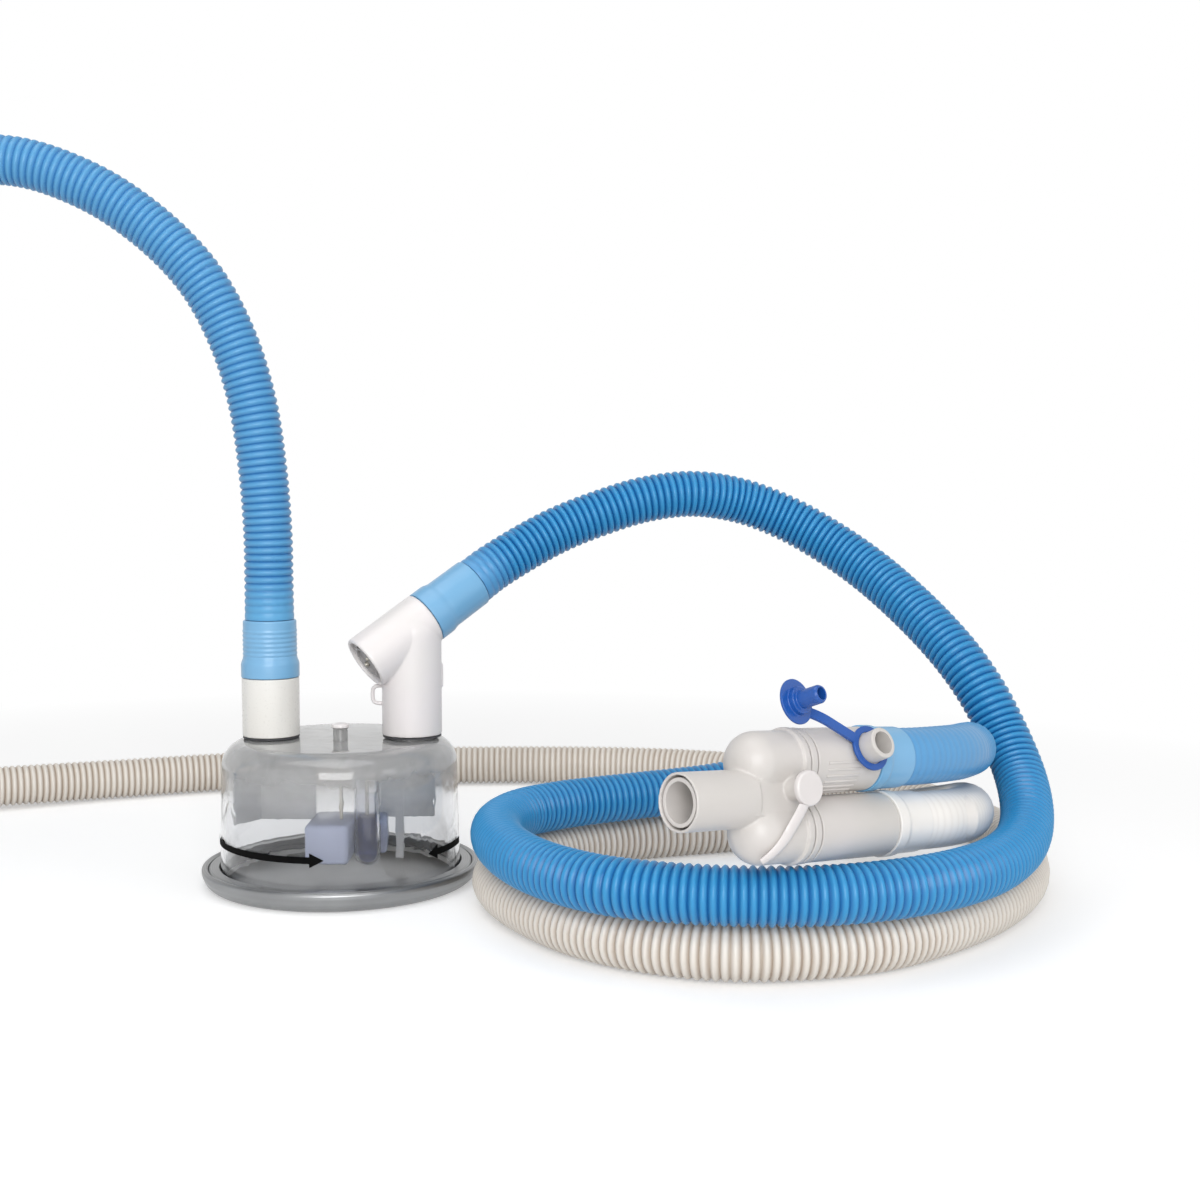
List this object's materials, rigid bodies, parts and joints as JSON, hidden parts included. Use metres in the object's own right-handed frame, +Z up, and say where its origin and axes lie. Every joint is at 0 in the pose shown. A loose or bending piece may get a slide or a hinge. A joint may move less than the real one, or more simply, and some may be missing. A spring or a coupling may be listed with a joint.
{
  "type": "ventilator breathing circuit with humidifier chamber",
  "caption": "Heated-humidifier breathing circuit: clear water chamber on a metal base, blue and cream ribbed hoses, elbow and Y-piece with capped ports.",
  "frame": {"origin": "centre of the chamber's base, on the surface that it stands on", "axes": "+Z up, +X from the chamber's inlet spigot to its outlet spigot, -Y towards the patient connector's open side"},
  "size_m": [0.8118, 0.4719, 0.3563],
  "materials": {
    "aluminium": "drawn, satin",
    "clear_plastic": "clear, moulded, glossy",
    "silicone": "matt",
    "float_plastic": "translucent violet",
    "brass": "bright",
    "baffle_plastic": "moulded, matt",
    "pale_plastic": "moulded, fine satin",
    "cream_plastic": "moulded, satin",
    "cream_hose": "ribbed, satin",
    "blue_hose": "ribbed, satin",
    "blue_cuff": "soft, satin",
    "blue_cap": "soft, satin"
  },
  "bodies": {
    "root": {"base_plate": "aluminium", "clamp_ring": "aluminium", "dome_shell": "clear_plastic", "fill_tube": "clear_plastic", "base_seal": "silicone", "inlet_seal": "silicone", "elbow_seal": "silicone", "primary_valve_seat": "silicone", "secondary_valve_seat": "silicone", "heater_pin_1": "brass", "heater_pin_2": "brass", "inlet_baffle": "baffle_plastic", "outlet_baffle": "baffle_plastic", "elbow_body": "pale_plastic", "elbow_end_cap": "pale_plastic", "elbow_clip": "pale_plastic", "wye_front_body": "pale_plastic", "wye_inner_sleeve": "pale_plastic", "wye_upper_ring": "pale_plastic", "wye_lower_ring": "pale_plastic", "wye_upper_sleeve": "pale_plastic", "wye_lower_sleeve": "pale_plastic", "monitor_cap_strap": "pale_plastic", "inlet_cuff": "cream_plastic", "wye_white_cuff": "cream_plastic", "expiratory_end_cuff": "cream_plastic", "expiratory_limb": "cream_hose", "dry_line": "blue_hose", "heated_limb": "blue_hose", "dry_line_cuff": "blue_cuff", "heated_limb_cuff": "blue_cuff", "wye_blue_cuff": "blue_cuff", "dry_line_end_cuff": "blue_cuff", "probe_cap_strap": "blue_cap"},
    "primary_float_body": {"primary_float": "float_plastic", "primary_valve_pin": "brass"},
    "secondary_float_body": {"secondary_float": "float_plastic", "secondary_valve_pin": "brass"},
    "feed_plug_body": {"feed_plug": "pale_plastic"},
    "probe_cap_body": {"probe_cap": "blue_cap"},
    "monitor_cap_body": {"monitor_cap": "pale_plastic"}
  },
  "joints": [
    {"name": "probe_cap_hinge", "type": "hinge", "parent": "root", "child": "probe_cap_body", "pos_m": [0.21829, -0.16672, 0.103], "axis": [0.216, 0.6332, 0.7432], "range_deg": [0, 172]},
    {"name": "monitor_cap_hinge", "type": "hinge", "parent": "root", "child": "monitor_cap_body", "pos_m": [0.20211, -0.18655, 0.07318], "axis": [0.7856, 0.6138, -0.0785], "range_deg": [0, 115]},
    {"name": "primary_float_slide", "type": "slide", "parent": "root", "child": "primary_float_body", "axis": [0, 0, 1], "range_m": [0, 0.008]},
    {"name": "secondary_float_slide", "type": "slide", "parent": "root", "child": "secondary_float_body", "axis": [0, 0, 1], "range_m": [0, 0.004]},
    {"name": "feed_plug_slide", "type": "slide", "parent": "root", "child": "feed_plug_body", "axis": [0, 0, 1], "range_m": [0, 0.008]}
  ]
}
